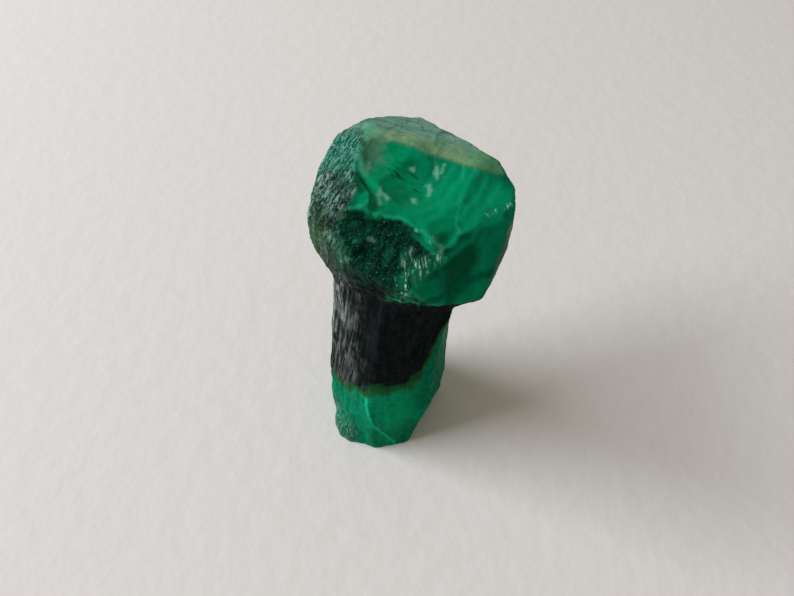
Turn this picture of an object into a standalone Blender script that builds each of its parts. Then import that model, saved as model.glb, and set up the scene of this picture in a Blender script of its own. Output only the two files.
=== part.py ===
"""Raw emerald crystal: one six-sided beryl prism that stands on its broken foot.

The prism narrows to a waist and widens to a worn head. The head's top is broken off: a bright
fracture in the middle, a strip of the old flat end behind it, a notch at the front left and a
steep glassy facet at the front right. It is a single natural solid, so it is one object.
Sizes in this file are millimetres until the last step, which turns the mesh into metres.
"""

import math

import bmesh
import bpy
from mathutils import Matrix, Vector, noise

METRES_PER_MM = 0.001

# Driving dimensions
FACE_AZIMUTH = 13.5  # where the widest prism face looks, from -Y towards +X
MID_FACE = math.cos(math.radians(30)) + 0.025  # a true hexagon's is cos 30, and these faces crown a little
VOXEL = 0.11  # edge of the grid that blends the cuts and rounds the worn edges
TRIANGLES = 9000

# Height, corner radius, centre x and y, and how much of the head's plan there is
SECTIONS = (
    (-0.5, 2.93, 0.00, 0.00, 0.0),
    (2.5, 2.93, 0.00, 0.00, 0.0),
    (4.5, 2.83, 0.03, 0.00, 0.0),
    (7.0, 2.69, 0.17, 0.00, 0.0),
    (9.5, 2.63, 0.36, 0.00, 0.0),
    (11.3, 2.65, 0.56, -0.02, 0.1),
    (12.2, 2.92, 0.78, -0.04, 0.6),
    (13.3, 3.50, 0.93, -0.10, 1.0),
    (14.3, 3.65, 0.96, -0.15, 1.0),
    (17.0, 3.58, 0.96, -0.05, 1.0),
)

# The worn head's reach at the mid-faces and corners, as a share of the corner radius. The first is
# the front mid-face, and they go round by 30 degrees towards +X.
HEAD_PLAN = (0.88, 1.08, 0.93, 0.97, 0.88, 0.90, 0.93, 1.08, 0.94, 0.99, 0.79, 0.77)


def in_direction(azimuth, tilt):
    """The unit vector that leans by tilt from straight up towards an azimuth, in degrees."""
    a, t = math.radians(azimuth), math.radians(tilt)
    return Vector((math.sin(t) * math.sin(a), -math.sin(t) * math.cos(a), math.cos(t)))


# Flat breaks, each a point on the plane and the direction that it faces
BREAKS = {
    "basal_face": (Vector((1.0, 2.2, 16.12)), in_direction(180, 5)),
    "left_shoulder": (Vector((-0.9, 0.5, 16.12)), in_direction(-100, 27)),
    "front_left_shoulder": (Vector((-0.5, -0.7, 15.82)), in_direction(-62, 18)),
    "back_left_shoulder": (Vector((-2.05, 3.08, 15.2)), in_direction(-140, 50)),
    "back_right_shoulder": (Vector((2.22, 2.23, 16.0)), in_direction(138, 58)),
    "right_corner": (Vector((4.12, 0.85, 15.35)), in_direction(108, 60)),
    "glassy_facet": (Vector((2.5, -1.55, 15.1)), in_direction(22, 57)),
    "right_rim": (Vector((4.0, -1.2, 14.5)), in_direction(57, 80)),
    "foot_chamfer": (Vector((2.7, 0.75, 0.0)), in_direction(61.5, 100.5)),
}

# Hollows broken out of the top: each is a plan that ends outside the head, the plane of its floor,
# and how far its left wall leans out by the top of the cut. The bright fracture lies in front of
# the old flat end, and the notch under a ledge at its front left.
FRACTURE_PLAN = (
    (-0.42, -1.3),
    (-0.42, -0.55),
    (-0.92, 0.46),
    (-1.03, 1.2),
    (-0.14, 2.0),
    (0.4, 1.5),
    (1.4, 1.15),
    (2.4, 0.62),
    (6.0, 0.5),
    (6.0, -6.0),
    (-0.42, -6.0),
)
FRACTURE_FLOOR = (Vector((1.77, -2.2, 15.0)), in_direction(18, 14))
NOTCH_PLAN = (
    (-1.35, -1.02),
    (-1.04, -1.06),
    (-0.42, -1.15),
    (0.52, -1.25),
    (1.15, -1.71),
    (1.77, -2.19),
    (3.2, -4.6),
    (-1.15, -4.6),
)
NOTCH_FLOOR = (Vector((0.61, -3.05, 14.06)), in_direction(0, 29.5))
NOTCH_LEFT = -1.1  # the notch's plan corners beyond this x lean out
NOTCH_LEAN = 7.0

# Curved breaks, scooped out like the inside of a shell: centre and radii
SCOOPS = (
    ((1.6, 0.0, 16.85), (2.6, 2.0, 1.6)),  # the bright fracture's bowl
    ((0.3, 0.7, 16.8), (1.5, 1.6, 1.2)),
    ((3.3, -0.3, 16.28), (1.5, 1.3, 1.05)),
    ((2.1, -1.9, 15.6), (0.7, 0.55, 0.75)),
    ((3.62, -4.66, 15.33), (3.0, 3.0, 3.0)),  # the glassy facet
    ((-0.3, -2.94, 16.56), (2.2, 2.2, 2.2)),  # the notch's floor
    ((-1.6, -1.7, 15.56), (0.9, 0.7, 0.8)),
    ((1.15, -2.85, 14.75), (0.45, 0.35, 0.4)),  # crushed edge under the ledge
    ((4.35, -0.9, 15.45), (0.6, 0.5, 0.5)),
    ((-1.6, -2.75, 13.4), (0.9, 0.8, 0.7)),  # worn lower rim of the head
    ((2.2, 4.4, 13.6), (1.5, 1.5, 1.2)),
    ((-2.6, 3.4, 13.9), (1.0, 1.1, 1.3)),
    ((5.3, 1.4, 13.0), (1.1, 1.2, 1.1)),
    ((0.6, 3.9, 6.5), (1.5, 1.7, 2.6)),  # long hollows in the stem's back
    ((-3.5, 0.6, 9.6), (1.5, 1.1, 2.2)),
    ((-3.3, -2.4, 4.6), (1.5, 1.5, 1.9)),  # the foot's front left face above its knob
    ((0.9, 3.6, 0.5), (1.3, 1.4, 1.3)),
    ((-2.9, 1.7, 0.3), (0.8, 0.9, 0.9)),
)
KNOB = ((-1.55, -1.42, 0.0), (1.25, 1.1, 2.3))  # the foot's frosty knob


def section(height):
    """The corner radius, centre and share of head plan at a height, between the nearest two sections."""
    for (low, *a), (high, *b) in zip(SECTIONS, SECTIONS[1:]):
        if height <= high:
            share = (height - low) / (high - low)
            return [p + (q - p) * share for p, q in zip(a, b)]
    return SECTIONS[-1][1:]


def hexagonal_prism():
    """A 12-sided primitive, ringed at each section: corners take turns with the crowns of the faces."""
    bm = bmesh.new()
    top = SECTIONS[-1][0]
    bottom = SECTIONS[0][0]
    bmesh.ops.create_cone(bm, cap_ends=True, segments=12, radius1=1, radius2=1, depth=top - bottom)
    bmesh.ops.translate(bm, verts=bm.verts, vec=(0, 0, (top + bottom) / 2))
    for height, *_ in SECTIONS[1:-1]:
        everything = bm.verts[:] + bm.edges[:] + bm.faces[:]
        bmesh.ops.bisect_plane(bm, geom=everything, plane_co=(0, 0, height), plane_no=(0, 0, 1))
    for vert in bm.verts:
        step = round(math.degrees(math.atan2(vert.co.x, -vert.co.y)) / 30) % 12
        angle = math.radians(step * 30 + FACE_AZIMUTH)
        radius, x, y, head = section(vert.co.z)
        prism_plan = 1 if step % 2 else MID_FACE
        radius *= prism_plan + (HEAD_PLAN[step] - prism_plan) * head
        vert.co.xy = (x + radius * math.sin(angle), y - radius * math.cos(angle))
    return bm


def cut(bm, point, normal):
    """Takes off what lies beyond a plane, and closes the cut with a flat face."""
    everything = bm.verts[:] + bm.edges[:] + bm.faces[:]
    done = bmesh.ops.bisect_plane(bm, geom=everything, plane_co=point, plane_no=normal, clear_outer=True)
    edges = [g for g in done["geom_cut"] if isinstance(g, bmesh.types.BMEdge)]
    bmesh.ops.holes_fill(bm, edges=edges)


def to_object(bm, name, collection):
    """Links a bmesh as an object, with its faces pointing out."""
    bmesh.ops.recalc_face_normals(bm, faces=bm.faces)
    mesh = bpy.data.meshes.new(name)
    bm.to_mesh(mesh)
    bm.free()
    thing = bpy.data.objects.new(name, mesh)
    collection.objects.link(thing)
    return thing


def hollow_cutter(name, plan, floor, lean, collection):
    """A hollow's plan, extruded from its sloping floor by 6 mm, to above the head."""
    point, normal = floor
    bm = bmesh.new()
    corners = []
    for x, y in plan:
        drop = (normal.x * (x - point.x) + normal.y * (y - point.y)) / normal.z
        corners.append(bm.verts.new((x, y, point.z - drop)))
    grown = bmesh.ops.extrude_face_region(bm, geom=[bm.faces.new(corners)])
    for vert in grown["geom"]:
        if isinstance(vert, bmesh.types.BMVert):
            vert.co.z += 6
            if vert.co.x < NOTCH_LEFT:
                vert.co.x -= lean
    cutter = to_object(bm, name, collection)
    cutter.hide_render = True
    cutter.display_type = "WIRE"
    return cutter


def ellipsoid_cutter(name, centre, radii, collection):
    """A ball stretched to three radii."""
    bm = bmesh.new()
    bmesh.ops.create_icosphere(bm, subdivisions=3, radius=1)
    bmesh.ops.scale(bm, verts=bm.verts, vec=radii)
    bmesh.ops.translate(bm, verts=bm.verts, vec=centre)
    cutter = to_object(bm, name, collection)
    cutter.hide_render = True
    cutter.display_type = "WIRE"
    return cutter


def relief(point, normal):
    """How far the surface stands out, in millimetres: lumps, the prism's upright grooves, and pits."""
    upright = (1 - abs(normal.z)) ** 2
    lumps = 0.06 * noise.fractal(point * 0.45, 1.0, 2.1, 3)
    drawn_out = Vector((point.x * 1.7, point.y * 1.7, point.z * 0.3))
    grooves = 0.05 * upright * noise.fractal(drawn_out, 1.0, 2.0, 2)
    cells, _ = noise.voronoi(point * 1.1 + Vector((7, 3, 1)), distance_metric="DISTANCE", exponent=2.5)
    flakes = 0.05 * (min(cells[1] - cells[0], 0.3) - 0.15)
    return lumps + grooves + flakes


def evaluated(thing):
    """Puts an object's modifiers into its mesh."""
    depsgraph = bpy.context.evaluated_depsgraph_get()
    thing.data = bpy.data.meshes.new_from_object(thing.evaluated_get(depsgraph))
    thing.modifiers.clear()


def material(name, colour, roughness):
    finish = bpy.data.materials.new(name)
    finish.use_nodes = True
    shader = finish.node_tree.nodes["Principled BSDF"]
    shader.inputs["Base Color"].default_value = colour
    shader.inputs["Roughness"].default_value = roughness
    shader.inputs["Metallic"].default_value = 0
    return finish


def main():
    for old in list(bpy.data.objects):
        bpy.data.objects.remove(old, do_unlink=True)
    scene = bpy.context.scene.collection
    parts = bpy.data.collections.new("emerald crystal")
    cutters = bpy.data.collections.new("cutters")
    scene.children.link(parts)
    scene.children.link(cutters)

    bm = hexagonal_prism()
    for point, normal in BREAKS.values():
        cut(bm, point, normal)
    crystal = to_object(bm, "emerald_crystal", parts)
    knob = crystal.modifiers.new("knob", "BOOLEAN")
    knob.operation = "UNION"
    knob.object = ellipsoid_cutter("knob", *KNOB, cutters)
    hollows = [
        hollow_cutter("bright_fracture", FRACTURE_PLAN, FRACTURE_FLOOR, 0, cutters),
        hollow_cutter("notch", NOTCH_PLAN, NOTCH_FLOOR, NOTCH_LEAN, cutters),
    ]
    hollows += [ellipsoid_cutter(f"scoop_{i}", *scoop, cutters) for i, scoop in enumerate(SCOOPS)]
    for cutter in hollows:
        hollow = crystal.modifiers.new(cutter.name, "BOOLEAN")
        hollow.object = cutter

    # The grid blends the cuts, and the smoothing wears their edges
    grid = crystal.modifiers.new("grid", "REMESH")
    grid.mode = "VOXEL"
    grid.voxel_size = VOXEL
    wear = crystal.modifiers.new("wear", "SMOOTH")
    wear.factor = 0.5
    wear.iterations = 1
    evaluated(crystal)

    skin = [(vert.co.copy(), vert.normal.copy()) for vert in crystal.data.vertices]
    for vert, (point, normal) in zip(crystal.data.vertices, skin):
        vert.co = point + normal * relief(point, normal)
    fewer = crystal.modifiers.new("fewer", "DECIMATE")
    fewer.ratio = TRIANGLES / len(crystal.data.polygons) / 2
    evaluated(crystal)

    bm = bmesh.new()
    bm.from_mesh(crystal.data)
    cut(bm, Vector((0, 0, 0)), Vector((0, 0, -1)))
    bmesh.ops.triangulate(bm, faces=bm.faces)
    middle = [(min(v.co[i] for v in bm.verts) + max(v.co[i] for v in bm.verts)) / 2 for i in (0, 1)]
    bm.transform(Matrix.Scale(METRES_PER_MM, 4) @ Matrix.Translation((-middle[0], -middle[1], 0)))
    bm.to_mesh(crystal.data)
    bm.free()
    crystal.data.materials.append(material("emerald", (0.003, 0.09, 0.035, 1), 0.25))


main()
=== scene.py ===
"""A raw emerald crystal that stands on its broken foot on pale paper, in soft window light.

The crystal is worked out in millimetres from the middle of its foot, and is turned into metres
and moved to the part's own origin as its last step. The light and the floor are in metres.
"""
import math

import bpy
import numpy as np
from mathutils import Matrix, Vector, noise


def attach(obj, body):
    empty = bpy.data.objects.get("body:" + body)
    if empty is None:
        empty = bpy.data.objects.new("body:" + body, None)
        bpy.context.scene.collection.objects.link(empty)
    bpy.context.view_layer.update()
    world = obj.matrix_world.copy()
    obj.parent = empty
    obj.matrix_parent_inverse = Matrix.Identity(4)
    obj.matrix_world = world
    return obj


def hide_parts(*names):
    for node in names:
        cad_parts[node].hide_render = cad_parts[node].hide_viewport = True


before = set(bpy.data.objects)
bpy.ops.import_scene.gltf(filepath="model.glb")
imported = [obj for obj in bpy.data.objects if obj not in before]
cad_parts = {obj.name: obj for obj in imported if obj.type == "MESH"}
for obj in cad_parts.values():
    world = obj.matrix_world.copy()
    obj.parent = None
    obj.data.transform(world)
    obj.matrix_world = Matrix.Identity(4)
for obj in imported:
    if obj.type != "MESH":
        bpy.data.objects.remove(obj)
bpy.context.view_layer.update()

# ---------------------------------------------------------------------------
# The camera looks down on the crystal from close by, so its head looms over its
# foot. Lengths are in millimetres, and the focal length is in the frame's pixels.
# ---------------------------------------------------------------------------
MM = 0.001
FOOT = Vector((-0.773, -0.0388, 0))  # the middle of the foot, from the part's origin
AIM = Vector((0.43, 6.57, 0))  # where the view meets the floor, from the middle of the foot
LOOK_DOWN = math.radians(55)
DISTANCE = 35.8
FOCAL_LENGTH = 595
FRAME_WIDTH = 794

camera = bpy.data.cameras.new("camera")
camera.sensor_width = 36
camera.lens = FOCAL_LENGTH / FRAME_WIDTH * camera.sensor_width
camera.clip_start = MM
camera_object = bpy.data.objects.new("camera", camera)
bpy.context.scene.collection.objects.link(camera_object)
looking = Vector((0, math.cos(LOOK_DOWN), -math.sin(LOOK_DOWN)))
camera_object.location = (FOOT + AIM - looking * DISTANCE) * MM
camera_object.rotation_euler = looking.to_track_quat("-Z", "Y").to_euler()
bpy.context.scene.camera = camera_object
bpy.context.scene.view_settings.view_transform = "Standard"

# ---------------------------------------------------------------------------
# Soft light: one wide window high on the left, and the dim, slightly warm walls of
# the room.
# ---------------------------------------------------------------------------


def linear(code):
    """An sRGB hex colour as the linear values that shaders and lights use."""
    values = [int(code[i : i + 2], 16) / 255 for i in (1, 3, 5)]
    return [v / 12.92 if v <= 0.04045 else ((v + 0.055) / 1.055) ** 2.4 for v in values] + [1]


room = bpy.data.worlds.new("room")
bpy.context.scene.world = room
room.use_nodes = True
room.node_tree.nodes["Background"].inputs["Color"].default_value = linear("#fff9e4")
room.node_tree.nodes["Background"].inputs["Strength"].default_value = 0.28
window = bpy.data.lights.new("window", "AREA")
window.shape = "RECTANGLE"
window.size = 0.22
window.size_y = 0.16
window.energy = 1.2
window.color = linear("#f3f6ff")[:3]
window_object = bpy.data.objects.new("window", window)
window_object.location = (-0.26, 0.01, 0.2)
window_object.rotation_euler = (-window_object.location).to_track_quat("-Z", "Y").to_euler()
bpy.context.scene.collection.objects.link(window_object)

# ---------------------------------------------------------------------------
# The floor is a sheet of uncoated drawing paper: matt, slightly warm white, with
# a faint tooth of lumps about a millimetre across.
# ---------------------------------------------------------------------------


def node(kind, inputs=None, **settings):
    """Adds a node with its settings. An input takes a value, or the node or output feeding it."""
    made = tree.nodes.new(kind)
    for name, value in settings.items():
        setattr(made, name, value)
    for name, value in (inputs or {}).items():
        if isinstance(value, bpy.types.Node):
            value = next(output for output in value.outputs if output.enabled)
        if isinstance(value, bpy.types.NodeSocket):
            tree.links.new(value, made.inputs[name])
        else:
            made.inputs[name].default_value = linear(value) if isinstance(value, str) else value
    return made


LUMPS_PER_METRE = 900

bpy.ops.object.select_all(action="DESELECT")
bpy.ops.mesh.primitive_plane_add(size=1.2)
paper = bpy.context.object
paper.name = "paper_floor"
uncoated_paper = bpy.data.materials.new("uncoated_paper")
uncoated_paper.use_nodes = True
tree = uncoated_paper.node_tree
shader = tree.nodes["Principled BSDF"]
shader.inputs["Base Color"].default_value = linear("#e6e1dd")
shader.inputs["Roughness"].default_value = 0.9
shader.inputs["Specular IOR Level"].default_value = 0.2
place = node("ShaderNodeTexCoord").outputs["Object"]
tooth = node("ShaderNodeTexNoise", {"Vector": place, "Scale": LUMPS_PER_METRE, "Detail": 3})
bump = node("ShaderNodeBump", {"Height": tooth, "Strength": 0.25, "Distance": 0.0002})
tree.links.new(bump.outputs["Normal"], shader.inputs["Normal"])
paper.data.materials.append(uncoated_paper)

# ---------------------------------------------------------------------------
# The emerald is one natural crystal: a six-sided prism with a broad broken head, a
# waist and a chipped foot. It starts as a drawn-out prism, planes and hollows
# take the breaks from it, and its skin is roughened last.
# ---------------------------------------------------------------------------
FACE_AZIMUTH = 13.5  # degrees from the front to the middle of the front face
MID_FACE = math.cos(math.radians(30)) + 0.025  # the faces bulge a little
GRID = 0.065  # the size of the skin's facets
# Height, radius, x and y of the middle, and how far the section is the head's.
SECTIONS = (
    (-0.5, 2.93, 0.00, 0.00, 0.0),
    (2.5, 2.93, 0.00, 0.00, 0.0),
    (4.5, 2.83, 0.03, 0.00, 0.0),
    (7.0, 2.69, 0.17, 0.00, 0.0),
    (9.5, 2.63, 0.36, 0.00, 0.0),
    (11.3, 2.65, 0.56, -0.02, 0.1),
    (12.2, 2.92, 0.78, -0.04, 0.6),
    (13.3, 3.5, 0.93, -0.10, 1.0),
    (14.3, 3.65, 0.96, -0.15, 1.0),
    (17.0, 3.58, 0.96, -0.05, 1.0),
)
# The head's radius at the middle of each face and at each corner, as a share.
HEAD_PLAN = (0.88, 1.08, 0.93, 0.97, 0.88, 0.90, 0.93, 1.08, 0.94, 0.99, 0.79, 0.77)


def in_direction(azimuth, tilt):
    """A direction at an azimuth from the front, in degrees, tilted away from upright."""
    turn, lean = math.radians(azimuth), math.radians(tilt)
    out = math.sin(lean)
    return Vector((out * math.sin(turn), -out * math.cos(turn), math.cos(lean)))


# A point on each flat break, and the way it faces.
BREAKS = {
    "basal_face": (Vector((1.0, 2.2, 16.12)), in_direction(180, 5)),
    "left_shoulder": (Vector((-0.9, 0.5, 16.12)), in_direction(-100, 27)),
    "front_left_shoulder": (Vector((-0.5, -0.7, 15.82)), in_direction(-62, 18)),
    "back_left_shoulder": (Vector((-2.05, 3.08, 15.2)), in_direction(-140, 50)),
    "back_right_shoulder": (Vector((2.22, 2.23, 16.0)), in_direction(138, 58)),
    "right_corner": (Vector((4.12, 0.85, 15.35)), in_direction(108, 60)),
    "glassy_facet": (Vector((2.5, -1.55, 15.1)), in_direction(22, 57)),
    "right_rim": (Vector((4.0, -1.2, 14.5)), in_direction(57, 80)),
    "foot_chamfer": (Vector((2.7, 0.75, 0.0)), in_direction(61.5, 100.5)),
}
# The outlines of the two hollows seen from above, and a point and the direction of each floor.
FRACTURE_PLAN = (
    (-0.42, -1.3), (-0.42, -0.55), (-0.92, 0.46), (-1.03, 1.2), (-0.14, 2.0), (0.4, 1.5),
    (1.4, 1.15), (2.4, 0.62), (6.0, 0.5), (6.0, -6.0), (-0.42, -6.0),
)
FRACTURE_FLOOR = (Vector((1.77, -2.2, 15.0)), in_direction(18, 14))
NOTCH_PLAN = (
    (-1.35, -1.02), (-1.04, -1.06), (-0.42, -1.15), (0.52, -1.25),
    (1.15, -1.71), (1.77, -2.19), (3.2, -4.6), (-1.15, -4.6),
)
NOTCH_FLOOR = (Vector((0.61, -3.05, 14.06)), in_direction(0, 29.5))
# The cutter's corners left of the notch's wall lean out by this much at their top.
NOTCH_WALL = -1.1
NOTCH_LEAN = 7
# The middle and the radii of each shell-shaped chip.
SCOOPS = (
    ((1.6, 0.0, 16.85), (2.6, 2.0, 1.6)),
    ((0.3, 0.7, 16.8), (1.5, 1.6, 1.2)),
    ((3.3, -0.3, 16.28), (1.5, 1.3, 1.05)),
    ((2.1, -1.9, 15.6), (0.7, 0.55, 0.75)),
    ((3.62, -4.66, 15.33), (3.0, 3.0, 3.0)),
    ((-0.3, -2.94, 16.56), (2.2, 2.2, 2.2)),
    ((-1.6, -1.7, 15.56), (0.9, 0.7, 0.8)),
    ((1.15, -2.85, 14.75), (0.45, 0.35, 0.4)),
    ((4.35, -0.9, 15.45), (0.6, 0.5, 0.5)),
    ((-1.6, -2.75, 13.4), (0.9, 0.8, 0.7)),
    ((2.2, 4.4, 13.6), (1.5, 1.5, 1.2)),
    ((-2.6, 3.4, 13.9), (1.0, 1.1, 1.3)),
    ((5.3, 1.4, 13.0), (1.1, 1.2, 1.1)),
    ((0.6, 3.9, 6.5), (1.5, 1.7, 2.6)),
    ((-3.5, 0.6, 9.6), (1.5, 1.1, 2.2)),
    ((-3.3, -2.4, 4.6), (1.5, 1.5, 1.9)),
    ((0.9, 3.6, 0.5), (1.3, 1.4, 1.3)),
    ((-2.9, 1.7, 0.3), (0.8, 0.9, 0.9)),
)
# The same for the knob on the front left of the foot.
KNOB = ((-1.55, -1.42, 0.0), (1.25, 1.1, 2.3))


def section(height):
    """The radius, middle and head share at a height, between the two nearest sections."""
    for (low, *below), (high, *above) in zip(SECTIONS, SECTIONS[1:]):
        if height <= high + 1e-6:
            share = (height - low) / (high - low)
            return [start + (end - start) * share for start, end in zip(below, above)]


def use_modifier(thing, kind, **settings):
    """Adds a modifier and applies it."""
    modifier = thing.modifiers.new(kind.lower(), kind)
    for name, value in settings.items():
        setattr(modifier, name, value)
    bpy.ops.object.select_all(action="DESELECT")
    thing.select_set(True)
    bpy.context.view_layer.objects.active = thing
    bpy.ops.object.modifier_apply(modifier=modifier.name)


def edit_all(thing):
    """Opens a piece in edit mode with all of it selected."""
    bpy.ops.object.select_all(action="DESELECT")
    bpy.context.view_layer.objects.active = thing
    thing.select_set(True)
    bpy.ops.object.mode_set(mode="EDIT")
    bpy.ops.mesh.select_all(action="SELECT")


bpy.ops.object.select_all(action="DESELECT")
bpy.ops.mesh.primitive_circle_add(vertices=12, radius=1, fill_type="NGON", location=(0, 0, 0))
crystal = bpy.context.object
crystal.name = "emerald"
edit_all(crystal)
for (low, *_), (high, *_) in zip(SECTIONS, SECTIONS[1:]):
    bpy.ops.mesh.extrude_region_move(TRANSFORM_OT_translate={"value": (0, 0, high - low)})
bpy.ops.mesh.select_all(action="SELECT")
bpy.ops.mesh.normals_make_consistent(inside=False)
bpy.ops.object.mode_set(mode="OBJECT")
for vert in crystal.data.vertices:
    step = round(math.degrees(math.atan2(vert.co.x, -vert.co.y)) / 30) % 12
    angle = math.radians(step * 30 + FACE_AZIMUTH)
    height = vert.co.z + SECTIONS[0][0]
    radius, x, y, head = section(height)
    prism_plan = 1 if step % 2 else MID_FACE
    radius *= prism_plan + (HEAD_PLAN[step] - prism_plan) * head
    vert.co = (x + radius * math.sin(angle), y - radius * math.cos(angle), height)
for point, normal in BREAKS.values():
    edit_all(crystal)
    bpy.ops.mesh.bisect(plane_co=point, plane_no=normal, use_fill=True, clear_outer=True)
    bpy.ops.object.mode_set(mode="OBJECT")


def take_away(cutter):
    """Cuts a solid out of the crystal."""
    use_modifier(crystal, "BOOLEAN", object=cutter, operation="DIFFERENCE")
    bpy.data.objects.remove(cutter)


def ball(centre, radii):
    """A round lump in millimetres."""
    bpy.ops.object.select_all(action="DESELECT")
    bpy.ops.mesh.primitive_ico_sphere_add(subdivisions=5, radius=1, location=centre, scale=radii)
    return bpy.context.object


knob = ball(*KNOB)
use_modifier(crystal, "BOOLEAN", object=knob, operation="UNION")
bpy.data.objects.remove(knob)
for plan, (point, normal), lean in (
    (FRACTURE_PLAN, FRACTURE_FLOOR, 0),
    (NOTCH_PLAN, NOTCH_FLOOR, NOTCH_LEAN),
):
    bpy.ops.object.select_all(action="DESELECT")
    bpy.ops.mesh.primitive_circle_add(vertices=len(plan), fill_type="NGON", location=(0, 0, 0))
    hollow = bpy.context.object
    for vert, (x, y) in zip(hollow.data.vertices, plan):
        drop = (normal.x * (x - point.x) + normal.y * (y - point.y)) / normal.z
        vert.co = (x, y, point.z - drop)
    edit_all(hollow)
    bpy.ops.mesh.extrude_region_move(TRANSFORM_OT_translate={"value": (0, 0, 6)})
    bpy.ops.mesh.select_all(action="SELECT")
    bpy.ops.mesh.normals_make_consistent(inside=False)
    bpy.ops.object.mode_set(mode="OBJECT")
    for vert in hollow.data.vertices[len(plan) :]:
        if vert.co.x < NOTCH_WALL:
            vert.co.x -= lean
    take_away(hollow)
for centre, radii in SCOOPS:
    take_away(ball(centre, radii))
use_modifier(crystal, "REMESH", mode="VOXEL", voxel_size=GRID)
use_modifier(crystal, "SMOOTH", factor=0.5, iterations=2)


def ramp(value, start, end):
    """0 before start, 1 after end, and smooth between them."""
    share = np.clip((value - start) / (end - start), 0, 1)
    return share * share * (3 - 2 * share)


def inside(plan):
    """How far each point is inside an outline seen from above; negative outside it."""
    away = np.full(len(points), 1e9)
    within = np.zeros(len(points), bool)
    for (ax, ay), (bx, by) in zip(plan, plan[1:] + plan[:1]):
        away = np.minimum(away, near_line((ax, ay), (bx, by)))
        between = (ay > points[:, 1]) != (by > points[:, 1])
        crossing = ax + (points[:, 1] - ay) * (bx - ax) / (by - ay + 1e-12)
        within ^= between & (points[:, 0] < crossing)
    return np.where(within, away, -away)


def near_line(*corners):
    """The distance of each point from a bent line, seen from above or in space."""
    away = np.full(len(points), 1e9)
    for start, end in zip(corners, corners[1:]):
        size = len(start)
        start, step = np.array(start), np.subtract(end, start)
        along = np.clip((points[:, :size] - start) @ step / (step @ step), 0, 1)
        apart = points[:, :size] - start - along[:, None] * step
        away = np.minimum(away, np.linalg.norm(apart, axis=1))
    return away


def cloud(cell, axes=((1, 0, 0), (0, 1, 0), (0, 0, 1)), octaves=3):
    """A smooth wandering value at each point, about -1 to 1, with cells of this size in mm."""
    stretched = points @ np.array(axes).T / cell
    return np.array([noise.fractal(p, 1.0, 2.0, octaves) for p in stretched])


def off_plane(point, normal):
    """The distance of each point from a flat break."""
    return np.abs((points - np.array(point)) @ np.array(normal))


def read(what, field):
    """One vector for each item of the mesh, as the rows of an array."""
    values = np.empty(len(what) * 3, np.float32)
    what.foreach_get(field, values)
    return values.reshape(-1, 3).astype(float)


# The left of the head, the waist, the head's lower right corner and the front edge of the basal
# face lose their sharp edges: they were etched, not broken.
HEAD_START = 12.8
LOWER_CORNER = ((3.2, -2.3, 13.1), (4.0, -1.7, 13.3))
BASAL_EDGE = ((0.0, 2.0, 15.9), (1.3, 1.6, 15.9), (3.2, 0.9, 15.7))
points = read(crystal.data.vertices, "co")
worn = ramp(-points[:, 0], 0.95, 1.35) * ramp(points[:, 1], 1.2, 0.2)
worn = np.maximum(worn, ramp(near_line(*LOWER_CORNER), 0.9, 0.3))
worn = np.maximum(worn, 0.8 * ramp(near_line(*BASAL_EDGE), 0.6, 0.2))
below = 0.8 * np.maximum(ramp(points[:, 2], 4.0, 7.0), ramp(-points[:, 0], -0.2, 0.4))
worn = np.where(points[:, 2] > HEAD_START, worn, below)
group = crystal.vertex_groups.new(name="worn")
for index in np.nonzero(worn > 0.02)[0]:
    group.add([int(index)], float(worn[index]), "REPLACE")
use_modifier(crystal, "SMOOTH", factor=0.5, iterations=100, vertex_group="worn")

# Where each break and band lies on the crystal, as a share from 0 to 1. The plans are seen from
# above, and `around` goes from the front, in degrees.
FRESH_PLAN = (
    (-1.12, -1.3), (-1.15, -0.75), (-0.85, -0.35), (-0.92, 0.46), (-1.03, 1.2),
    (-0.45, 1.72), (0.3, 1.82), (1.2, 1.52), (2.2, 1.24), (3.15, 0.78),
    (3.85, 0.6), (6.0, 0.5), (6.0, -6.0), (-1.12, -6.0),
)
FACET_PLAN = (
    (1.95, -2.25), (2.44, -1.89), (2.85, -1.57), (3.07, -1.22), (3.42, -0.79),
    (4.16, -0.46), (5.5, 0.1), (5.5, -5.0), (1.95, -5.0),
)
NECK = (12.6, 13.3)  # the heights between which the stem's look turns into the head's
# The ways that the glassy facet and the right rim face, seen from above.
FACET_WAY = np.array((0.374, -0.927, 0))
RIM_WAY = np.array((0.84, -0.54, 0))
# The height of the smoky band's lower edge, which climbs towards the right and the back.
BAND_AZIMUTHS = (-180, -150, -120, -90, -76, -60, -46, -16, 10, 28, 38, 45, 75, 120, 150, 180)
BAND_FOOT = (
    9.0, 7.8, 6.4, 5.1, 4.6, 4.5, 5.0, 6.35, 6.1, 6.7, 8.6, 10.2, 11.0, 10.6, 10.0, 9.0,
)
points = read(crystal.data.vertices, "co")
normals = np.array([v.normal for v in crystal.data.vertices])
x, y, z = points.T
upward = normals[:, 2]
wander = cloud((0.6, 0.6, 0.6)) * 0.16
jitter = cloud((0.2, 0.2, 0.2)) * 0.1
feathery = cloud((0.14, 0.14, 1.1), octaves=2)
feathery *= 0.15 + 0.3 * np.maximum(ramp(-x, 0.6, 1.6), ramp(y, -0.5, 1.0))
around = np.degrees(np.arctan2(x - 0.3, -y))
side = ramp(upward, 0.45, 0.1)
head = ramp(z + wander + feathery * 0.3, *NECK)
head *= ramp(upward + wander + jitter * 2 + feathery * 0.5, -0.3, -0.02)
# leftward: the stem's left side, towards the window. Its flutes are real relief; the grey sheen
# laid on them there is painted.
leftward = ramp(-x + wander * 3, 0.8, 2.2) * ramp(-normals[:, 0], -0.05, 0.5)
leftward *= 0.3 + 0.7 * ramp(z + wander * 4, 6.0, 11.0)
leftward *= 0.6 + 0.4 * ramp(z, 12.6, 11.4)
leftward *= 1 - 0.55 * ramp(0.3 * normals[:, 1] - normals[:, 0], 0.7, 1.0)

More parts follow.
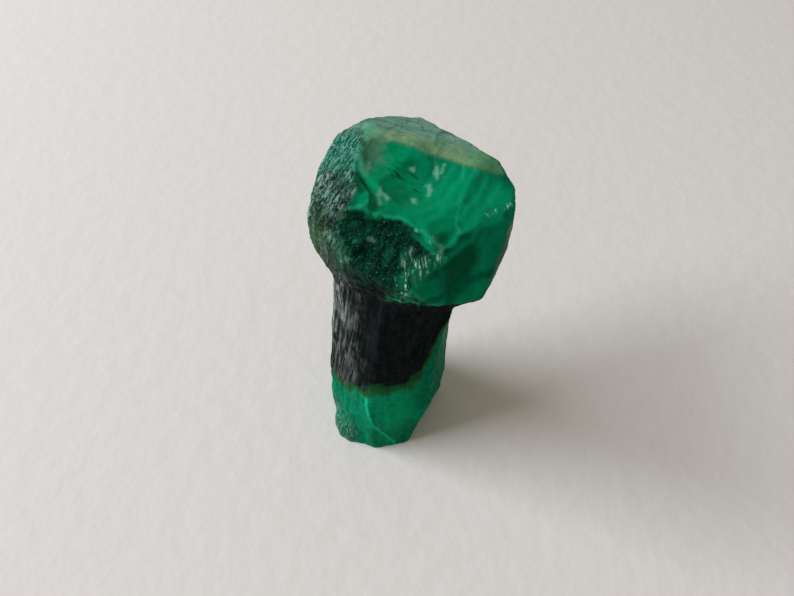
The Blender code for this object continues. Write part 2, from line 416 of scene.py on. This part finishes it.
past_ridge = off_plane(*NOTCH_FLOOR) - off_plane(*BREAKS["glassy_facet"])
past_ridge = ramp(past_ridge + jitter * 0.4, -0.05, 0.1)
facet = past_ridge * ramp(normals @ FACET_WAY, 0.42, 0.6)
facet = np.maximum(facet, ramp(inside(FACET_PLAN) + jitter * 0.5, -0.05, 0.05))
facet = np.maximum(facet, side * ramp(around, 18, 28) * ramp(around, 72, 62))
notch = ramp(inside(NOTCH_PLAN) + jitter * 0.6, -0.15, -0.04)
notch *= 1 - past_ridge
notch *= ramp(x + wander * 2 + jitter * 2, -1.65, -1.1)
front = side * ramp(around, -42, -28) * ramp(around, 32, 18)
notch = np.maximum(notch, front) * (1 - facet)
fracture = ramp(inside(FRESH_PLAN) + jitter * ramp(-x, -0.6, 0.2), -0.06, 0.06)
fracture *= ramp(upward, 0.02, 0.2)
fracture *= 1 - facet
fracture *= 1 - notch
fresh = np.clip(notch + facet + fracture, 0, 1)
basal = (1 - fresh) * ramp(upward, 0.25, 0.45)
basal *= ramp(y + 1.2 * x + jitter * 2, 0.9, 1.7)
basal *= ramp(y + 0.45 * x, 1.1, 1.3)
skin = (1 - fresh) * (1 - basal)

above_foot = z - np.interp(around, BAND_AZIMUTHS, BAND_FOOT) + wander * 2.6 + feathery
above_foot += 0.9 * cloud((1.7, 1.7, 1.7)) * ramp(y, -1.0, 0.5)
smoky = ramp(above_foot, -0.4, 0.4)
halo = ramp(np.abs(above_foot + 0.2), 0.6, 0.1)


def relief(point, normal):
    """How far the skin stands out from the flat breaks: broad lumps, grooves and flakes."""
    upright = (1 - abs(normal.z)) ** 2
    lumps = 0.06 * noise.fractal(point * 0.45, 1.0, 2.1, 3)
    drawn_out = Vector((point.x * 1.7, point.y * 1.7, point.z * 0.3))
    grooves = 0.05 * upright * noise.fractal(drawn_out, 1.0, 2.0, 2)
    shifted = point * 1.1 + Vector((7, 3, 1))
    cells, _ = noise.voronoi(shifted, distance_metric="DISTANCE", exponent=2.5)
    flakes = 0.05 * (min(cells[1] - cells[0], 0.3) - 0.15)
    return lumps + grooves + flakes


# Finer relief for each break, up to a tenth of a millimetre high. ETCH has the ways along the
# slanting ridges of the old skin, across them and into it, and STEPS the same for the growth
# steps on the basal face.
ETCH = ((0.453, 0.855, 0.251), (0.357, -0.437, 0.826), (0.816, -0.285, -0.503))
STEPS = ((0.92, -0.39, 0), (0.39, 0.92, 0), (0, 0, 1))
RIPPLE = 0.42  # from one ripple of the fracture to the next
height = np.array([relief(Vector(p), Vector(n)) for p, n in zip(points, normals)])
etched = 0.5 - np.abs(cloud((0.55, 0.16, 0.35), ETCH, 3))
fluted = 0.5 - np.abs(cloud((0.22, 0.22, 1.3), octaves=3))
grown = 0.5 - np.abs(cloud((0.5, 0.5, 3.5), octaves=2))
lumpy = cloud((0.55, 0.55, 0.55), octaves=4)
ring = np.hypot(x - 0.2, y - 1.6)
ripples = np.sin(ring * 2 * math.pi / RIPPLE + wander * 14) * ramp(x, 0.6, 2.0)
stepped = cloud((1.6, 0.12, 1.6), STEPS, 2)
height += head * skin * (0.055 * (etched - 0.3) + 0.03 * lumpy)
height += head * notch * (0.035 * lumpy + 0.2 * jitter)
height += head * fracture * (0.012 * ripples + 0.022 * lumpy)
height += head * basal * (0.015 * lumpy + 0.02 * stepped)
height += head * facet * 0.012 * cloud((0.5, 0.9, 0.9))
flutes = 0.035 * np.maximum(leftward, 0.4) * (fluted - 0.3)
height += (1 - head) * (flutes + 0.06 * side * (grown - 0.3))

# Crushed splinters along the ridges; they lie uphill.
RIDGE = ((1.75, -2.02, 14.75), (1.32, -2.25, 14.53), (1.0, -2.5, 14.38), (0.66, -2.92, 14.14))
UPHILL = ((1, 0, 0), (-0.1, 0.86, 0.5), (0, -0.5, 0.86))
crushed = head * np.maximum.reduce((
    ramp(near_line(*RIDGE), 0.4, 0.05) * ramp(y, -1.9, -2.3),
    0.6 * ramp(near_line((0.75, -2.0), (0.85, -2.5)), 0.35, 0.05),
    ramp(near_line((0.6, -2.75), (0.95, -2.55)), 0.35, 0.1),
    0.9 * ramp(near_line((1.6, -1.78), (1.85, -2.1)), 0.2, 0.05),
    0.8 * ramp(near_line((3.3, -0.83), (4.25, -0.36)), 0.12, 0.02),
    0.5 * ramp(near_line((1.0, -1.46), (1.31, -1.69), (1.75, -2.05)), 0.12, 0.02),
    0.4 * skin * ramp(x, -1.9, -1.3) * ramp(y, -0.6, -1.2),
))
height += 0.05 * ramp(crushed, 0.2, 0.8) * cloud((0.1, 0.35, 0.15), UPHILL, 2)
points += normals * height[:, None]
crystal.data.vertices.foreach_set("co", points.astype(np.float32).ravel())

# Ridges and creases of the finished skin, from how far each point stands out from the mean of
# those around it. The ridges get a painted highlight and the creases painted shade.
ROUNDING_PASSES = 4
FULL_RIDGE = 0.03
ends = np.empty(len(crystal.data.edges) * 2, np.int32)
crystal.data.edges.foreach_get("vertices", ends)
ends = ends.reshape(-1, 2)
neighbours = np.bincount(ends.ravel(), minlength=len(points))[:, None]
rounded = points.copy()
for _ in range(ROUNDING_PASSES):
    total = np.zeros_like(rounded)
    for one, other in ((0, 1), (1, 0)):
        for axis in range(3):
            total[:, axis] += np.bincount(ends[:, one], rounded[ends[:, other], axis], len(points))
    rounded = total / neighbours
proud = np.einsum("ij,ij->i", points - rounded, normals) / FULL_RIDGE

# Smaller marks: healed cracks, and painted light and shade: white sparkles, skin glints, highlights
# along rims, glows, and shade in gouges and bands. Their edges stray by the wander or the jitter.
SHELL_RIM = ((2.5, -0.43), (2.35, -0.88), (2.3, -1.24), (2.42, -1.5), (2.14, -1.69), (1.78, -2.03))
SCRATCH = ((-0.95, -1.6), (-0.6, -1.62), (-0.4, -1.52), (-0.3, -1.6))
MILKY_BEND = ((-0.9, 1.4), (-0.4, 1.5), (-0.45, 0.9))
STARS = (
    ((0.92, 0.98), (0.97, 0.94)), ((1.8, 1.1), (1.78, 0.8)), ((1.95, 1.05), (1.92, 0.9)),
    ((-0.1, -0.15), (-0.02, -0.3)), ((0.05, -0.2), (0.1, -0.45)), ((-0.15, -0.4), (-0.12, -0.6)),
    ((1.5, 0.45), (1.5, 0.05)), ((-0.55, 0.75), (-0.5, 0.9)), ((0.95, -0.25), (0.97, -0.35)),
    ((1.7, -1.85), (1.8, -2.05)),
)
# The rim of the foot's chip: its heights, and how far right it is at each.
RIM_HEIGHTS = (0.5, 1.26, 2.14, 2.91, 4.49, 6.28)
RIM_RIGHT = (0.35, -0.07, -0.39, -0.7, -0.92, -0.78)
# Painted sparkles: small white glints on the breaks.
painted_sparkles = np.maximum.reduce([ramp(near_line(*star) + jitter * 1.2, 0.13, 0.0) for star in STARS])
# Painted shade: in the gouge along the fracture's left edge and in dark patches of the left skin.
shade = np.maximum.reduce((
    0.5 * skin * ramp(near_line((-1.5, 0.2), (-1.1, -0.6)) + wander * 2.5, 0.6, 0.1),
    0.6 * ramp(near_line((-1.1, -0.7), (-1.3, -1.1), (-1.55, -1.9)) + wander * 2.5, 0.5, 0.1),
    0.45 * ramp(near_line((-2.05, -0.65), (-1.35, -0.85)) + wander * 2.5, 0.5, 0.1),
    ramp(near_line((-0.95, 0.4), (-0.72, -0.1), (-0.68, -0.35)) + wander, 0.25, 0.06),
))
# Painted shade on the glassy facet: darker near its apex and along a low band at its foot.
painted_facet_shade = ramp(near_line((1.95, -2.3), (2.7, -1.9)) + wander * 2.5, 0.8, 0.1)
low_band = np.abs(z - 13.35 - 0.12 * x + wander * 0.6)
painted_facet_shade = np.maximum(painted_facet_shade, 0.8 * ramp(low_band, 0.2, 0.05))
# Painted highlights: a bright line along the shell's rim and along the ledge of the notch.
painted_rim_highlight = ramp(near_line(*SHELL_RIM) + jitter * 0.6, 0.07, 0.015)
painted_ledge_highlight = 1.4 * ramp(np.abs(inside(NOTCH_PLAN) + 0.18 + jitter * 0.6), 0.08, 0.01)
painted_ledge_highlight *= ramp(y, -2.2, -2.0)
# How strong the painted glints on the etched old skin are: half everywhere, full on the left front
# where faces turn up or forward.
painted_skin_glints = 0.5 * ramp(-x - 0.4 * y + wander * 3, -0.6, 1.0)
painted_skin_glints = 0.5 + painted_skin_glints * ramp(upward - 0.6 * normals[:, 1], -0.1, 0.4)
foot_rim = x - np.interp(z, RIM_HEIGHTS, RIM_RIGHT) + jitter * 0.5
# A painted glow in the front of the foot, as of light passing through it.
painted_foot_glow = ramp(near_line((0.1, -2.6, 5.4), (0.4, -2.7, 3.2)) + wander, 1.7, 0.2)
marks = {
    "in_head": head,
    "notch": notch,
    "facet": facet,
    "basal": basal,
    "skin": skin,
    "smoky": smoky,
    "halo": halo,
    "leftward": leftward,
    # ridge: painted highlight on the ridges; crease: painted shade in the creases
    "ridge": ramp(proud, 0.25, 1.1) * np.maximum(head, 0.4 - 0.4 * smoky) * (1 - notch * head),
    "crease": ramp(-proud, 0.25, 1.1) * ramp(np.abs(inside(NOTCH_PLAN)), 0.3, 0.5),
    "crushed": crushed,
    "painted_sparkles": painted_sparkles * head,
    # on the fracture floor
    # Painted glow on the fracture floor, as of light passing through the crystal.
    "painted_fracture_glow": np.maximum.reduce((
        ramp(near_line((1.25, -1.0), (2.0, -0.2)) + wander * 1.5, 2.2, 0.3),
        ramp(near_line((1.0, 1.6), (0.2, 1.5), (-0.1, 0.6), (0.5, 0.2)) + wander * 2, 0.9, 0.2),
        ramp(near_line((-0.1, 0.6), (-0.35, 0.0), (-0.35, -0.8)) + wander * 2, 0.7, 0.1),
    )),
    # Painted light where the fracture's slopes turn away from the window.
    "painted_light": ramp(near_line((-0.2, 1.3), (-0.35, 0.6), (-0.3, -0.4)) + wander * 2, 0.6, 0.1),
    "milky": fracture * ramp(near_line(*MILKY_BEND) + wander * 3, 0.6, 0.1),
    "feathers": ramp(near_line((0.45, 0.85), (0.9, 0.3)) + wander, 0.55, 0.2),
    "shell": fracture * ramp(near_line((1.75, -1.45), (2.15, -1.35)), 0.45, 0.3),
    "painted_rim_highlight": np.maximum(painted_rim_highlight, painted_ledge_highlight) * fracture,
    # on the glassy facet, on the right rim and in the notch
    "painted_facet_shade": painted_facet_shade * facet,
    "rim": side * ramp(normals @ RIM_WAY, 0.9, 0.97),
    "scratch": notch * ramp(near_line(*SCRATCH) + jitter, 0.04, 0.01),
    # on the basal face and the old skin
    "behind": ramp(-inside(FRESH_PLAN) + wander * 0.6, 0.33, 0.5),
    "dim": ramp(x + wander * 2, 2.4, 3.2),
    # A pale patch at the back left: partly its own pale colour, partly painted light where its
    # slope turns away from the window.
    "pale": ramp(near_line((-0.5, 2.4), (-0.42, 1.2)) + wander * 1.5, 0.45, 0.08),
    "painted_skin_glints": painted_skin_glints,
    "teal": skin * ramp(near_line((-1.7, 1.9), (-0.9, 1.0), (-0.75, 0.6)) + wander * 3, 1.2, 0.4),
    "olive": skin * ramp(near_line((-2.3, -1.1, 14.3), (-1.8, -1.6, 13.6)) + wander * 4, 1.2, 0.3),
    "shade": shade,
    # on the foot
    # Painted shade: darker towards the right, away from the window.
    "painted_right_shade": ramp(x + wander, -0.4, 2.2),
    # Painted shade on faces that turn to the left, except at the front.
    "painted_side_shade": ramp(-normals[:, 0], 0.1, 0.7) * ramp(y + 0.8 * x, -2.6, -1.2),
    "frost": ramp(z + wander * 3, 2.8, 1.0) * ramp(-x + wander * 2, 1.3, 2.0) * ramp(y, 0.8, -0.4),
    "painted_foot_glow": painted_foot_glow * (1 - head),
    # Painted light on the foot's front left, left of the chip's rim.
    "foot_left_painted_light": ramp(-foot_rim, -0.04, 0.04) * ramp(-y, 0.2, 1.2),
    # A painted highlight along the rim of the foot's chip.
    "foot_rim": ramp(np.abs(foot_rim + 0.07), 0.12, 0.02) * ramp(z, 6.0, 5.0) * ramp(-y, 1.5, 2.2),
}
for name, share in marks.items():
    attribute = crystal.data.attributes.new(name, "FLOAT", "POINT")
    attribute.data.foreach_set("value", np.asarray(share, np.float32))

# The foot is broken flat where it stands.
edit_all(crystal)
bpy.ops.mesh.bisect(plane_co=(0, 0, 0), plane_no=(0, 0, -1), use_fill=True, clear_outer=True)
bpy.ops.object.mode_set(mode="OBJECT")

# Raw emerald, a green beryl, as it broke and as it was etched in the rock. It looks clear and deep
# green on the fresh breaks, dull grey-green on the old faces, and black where smoke is shut in it.
BERYL_IOR = 1.577
GLOSS = 0.001  # fine pits and dust take nearly all the shine away
DEEP_GREEN = (0.06, 0.835, 0.665, 1)
ABSORPTION = 1500  # per metre: red is gone within the first millimetres, and green goes far in
emerald = bpy.data.materials.new("raw_emerald")
emerald.use_nodes = True
tree = emerald.node_tree
shader = tree.nodes["Principled BSDF"]
place = node("ShaderNodeTexCoord").outputs["Object"]
millimetres = node("ShaderNodeMapping", {"Vector": place, "Scale": (1 / MM, 1 / MM, 1 / MM)})
layer = {name: node("ShaderNodeAttribute", attribute_name=name).outputs["Fac"] for name in marks}

# Patterns, each with the size of its cells in millimetres, how they are turned, its octaves, and
# the noise at which it starts and is full. Dust and crumbs are finer on a real stone: they are
# drawn a tenth of a millimetre wide so that they show.
for name, cell, turn, detail, low, high in (
    ("depths", (1.5, 1.5, 1.5), (0, 0, 0), 4, 0.38, 0.64),
    ("veils", (0.5, 0.35, 0.5), (0, 0, 0.6), 5, 0.5, 0.68),
    ("etching", (0.42, 0.1, 0.25), (0, -0.255, 1.08), 4, 0.47, 0.6),
    ("grain", (0.12, 0.05, 0.1), (0, -0.255, 1.08), 2, 0.55, 0.68),
    ("hollows", (0.8, 0.35, 0.6), (0, -0.255, 1.08), 3, 0.53, 0.62),
    ("fluting", (0.13, 0.13, 1.5), (0, 0.15, 0), 5, 0.44, 0.64),
    ("strokes", (0.42, 0.09, 0.4), (0, 0, -0.55), 3, 0.54, 0.64),
    ("splinters", (0.08, 0.34, 0.2), (0.52, 0, 0.1), 3, 0.56, 0.66),
    ("steps", (1.4, 0.13, 0.4), (0, 0, -0.4), 4, 0.42, 0.62),
    ("dust", (0.09, 0.09, 0.09), (0, 0, 0), 3, 0.6, 0.72),
    ("crumbs", (0.12, 0.12, 0.12), (0, 0, 0), 3, 0.46, 0.54),
):
    stretched = node(
        "ShaderNodeMapping",
        {"Vector": millimetres, "Rotation": turn, "Scale": cell},
        vector_type="TEXTURE",
    )
    cells = node(
        "ShaderNodeTexNoise",
        {"Vector": stretched, "Scale": 1, "Detail": detail, "Roughness": 0.6, "Distortion": 0.5},
    )
    full = node("ShaderNodeMapRange", {"Value": cells, "From Min": low, "From Max": high})
    layer[name] = full.outputs[0]

# Each stack is a ground with layers over it, of colours or of plain numbers. A layer is a colour, a
# number, a pattern or an earlier stack, and then the marks, patterns and shares that say where it
# lies and how strong it is.
for name, ground, layers in (
    ("bruise", "#0a5644", (("#469a80", "etching"),)),
    (
        "old skin",
        "#10211c",
        (
            # the light etching colour: painted glints on the etched skin
            ("#8caa9d", "etching", "painted_skin_glints"),
            ("#156d53", "depths", 0.5),
            ("#0e1e19", "hollows", 0.7),
            ("bruise", "teal"),
            ("#0a1a15", "shade", 0.6),
            # the pale grain: painted glints
            ("#c4d6cb", "grain", "painted_skin_glints", 0.6),
            ("#3e5a39", "olive", 0.75),
        ),
    ),
    # real flutes on the smoky stem, lightened grey on the window side as a painted sheen
    ("smoke streaks with painted sheen", "#232a27", (("#a0a9a3", "fluting"), ("#464e49", "veils", 0.5))),
    (
        "smoke",
        "#101516",
        (("#1a2123", "veils"), ("#353b3b", "fluting", 0.2), ("smoke streaks with painted sheen", "leftward")),
    ),
    ("frosted knob", "#234a3f", (("#7a9a8d", "etching"),)),
    ("right rim", "#2c6149", (("#6d9078", "etching", 0.8), ("#14503a", "depths", 0.6))),
    (
        "fracture green",
        "#027450",
        (
            ("#039063", "depths"),
            # painted glow and painted light on the fracture floor
            ("#03a06c", "painted_fracture_glow", 0.9),
            ("#08bd83", "painted_light", 0.6),
            ("#16a67a", "veils", 0.25),
            ("#3f9a79", "milky", 0.7),
            ("#7fbda5", "milky", "crumbs", 0.45),
            ("#0a5f47", "milky", "veils", 0.3),
            ("#012c1e", "strokes", "feathers", 0.8),
            ("#015c3e", "shell", 0.4),
            # painted highlight along the shell's rim and the ledge
            ("#22b98b", "painted_rim_highlight", 0.55),
        ),
    ),
    (
        "facet green",
        "#019467",
        (
            ("#01644a", "depths", 0.6),
            ("#149068", "veils", 0.25),
            ("#2b9c78", "fluting", 0.12),
            # painted shade near the facet's apex and along its low band
            ("#012c20", "painted_facet_shade", 0.7),
        ),
    ),
    (
        "notch green",
        "#062c20",
        (
            ("#0c5039", "veils"),
            ("#020f0b", "depths", 0.4),
            ("#011009", "hollows", 0.5),
            ("#1b6a4f", "etching", 0.3),
            ("#6fae96", "dust", 0.5),
        ),
    ),
    # The basal face's pale grey-green is partly its etched frost and partly a painted reflection of
    # the bright room behind.
    (
        "basal back",
        "#568a76",
        (
            ("#97a59f", "steps", 0.7),
            ("#2c7a5d", "depths", 0.5),
            ("#1f6349", "hollows", 0.6),
            ("#0c4a36", "dust", 0.9),
        ),
    ),
    (
        "basal face",
        "#76996f",
        (
            ("#4d8a68", "steps", 0.6),
            ("#3a7857", "hollows", 0.5),
            ("#94ab92", "veils", 0.5),
            ("#3b7350", "dim", 0.7),
            ("basal back", "behind"),
            ("#0e6149", "dust", 0.8),
        ),
    ),
    (
        "head",
        "fracture green",
        (
            ("facet green", "facet"),
            ("notch green", "notch"),
            ("basal face", "basal"),
            ("old skin", "skin"),
            # pale patch: partly its own colour, partly painted light
            ("#64a984", "pale", 0.75),
            ("right rim", "rim", 0.9),
            ("#03150f", "shade", 0.75),
        ),
    ),
    (
        "stone",
        "#017854",
        (
            ("#016045", "depths", 0.6),
            # painted shade towards the right
            ("#01503a", "painted_right_shade", 0.5),
            # painted shade on faces that turn to the left
            ("#014f39", "painted_side_shade", 0.75),
            # painted light on the chip's front left
            ("#01835e", "foot_left_painted_light", 0.3),
            # painted glow in the front of the foot
            ("#03a271", "painted_foot_glow", 0.6),
            ("#019c72", "veils", 0.35),
            ("#06a87d", "strokes", 0.3),
            ("#014330", "hollows", 0.35),
            # lighter flutes on the window side: painted sheen
            ("#027d59", "fluting", "leftward", 0.5),
            # painted highlight along the rim of the foot's chip
            ("#14be90", "foot_rim", 0.7),
            ("frosted knob", "frost", 0.6),
            ("#27520f", "halo", 0.7),
            ("smoke", "smoky"),
            ("#1d4d22", "halo", 0.35),
            ("head", "in_head"),
            # painted highlights on the ridges and painted shade in the creases
            ("#2a9e7b", "ridge", 0.3),
            ("#01130d", "crease", 0.4),
            # painted sparkles
            ("#86d6b8", "painted_sparkles", 0.75),
            ("#86b8a2", "scratch", 0.35),
            ("#17835f", "crushed", 0.5),
            # crushed chips are real; the white on their splinters is a painted highlight
            ("#b4d8c6", "crushed", "splinters"),
        ),
    ),
    (
        "head clearness",
        0.26,
        ((0.18, "facet"), (0.1, "notch"), (0.05, "basal"), (0.03, "skin")),
    ),
    ("clearness", 0.02, ((0, "smoky"), ("head clearness", "in_head"), (0, "crushed"))),
    ("head roughness", 0.26, ((0.45, "basal"), (0.53, "skin"))),
    ("roughness", 0.26, ((0.53, "smoky"), ("head roughness", "in_head"))),
    (
        "relief",
        0.3,
        (("fluting", "leftward"), ("crumbs", "notch", "in_head"), ("etching", "skin", "in_head")),
    ),
):
    # A Mix node keeps its sockets for numbers and for colours in different places.
    kind, low, high, result = ("FLOAT", 2, 3, 0) if isinstance(ground, float) else ("RGBA", 6, 7, 2)
    ground = layer.get(ground, ground)
    for over, *shares in layers:
        strength = layer[shares[0]]
        for factor in shares[1:]:
            both = {0: strength, 1: layer.get(factor, factor)}
            strength = node("ShaderNodeMath", both, operation="MULTIPLY")
        laid = {0: strength, low: ground, high: layer.get(over, over)}
        ground = node("ShaderNodeMix", laid, data_type=kind).outputs[result]
    layer[name] = ground
tree.links.new(layer["stone"], shader.inputs["Base Color"])
tree.links.new(layer["clearness"], shader.inputs["Transmission Weight"])
tree.links.new(layer["roughness"], shader.inputs["Roughness"])
shader.inputs["IOR"].default_value = BERYL_IOR
shader.inputs["Specular IOR Level"].default_value = GLOSS
shader.inputs["Specular Tint"].default_value = linear("#6fd8b4")
bump = node("ShaderNodeBump", {"Height": layer["relief"], "Strength": 0.6, "Distance": 0.04 * MM})
tree.links.new(bump.outputs["Normal"], shader.inputs["Normal"])
absorb = node("ShaderNodeVolumeAbsorption", {"Color": DEEP_GREEN, "Density": ABSORPTION})
tree.links.new(absorb.outputs["Volume"], tree.nodes["Material Output"].inputs["Volume"])
crystal.data.materials.clear()
crystal.data.materials.append(emerald)

# The mesh goes to metres and to its place, and is handed over in place of the solid.
crystal.data.transform(Matrix.Scale(MM, 4) @ Matrix.Translation(FOOT))
bpy.ops.object.select_all(action="DESELECT")
crystal.select_set(True)
bpy.context.view_layer.objects.active = crystal
bpy.ops.object.shade_smooth_by_angle(angle=math.radians(40))
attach(crystal, "root")
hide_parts("emerald_crystal")
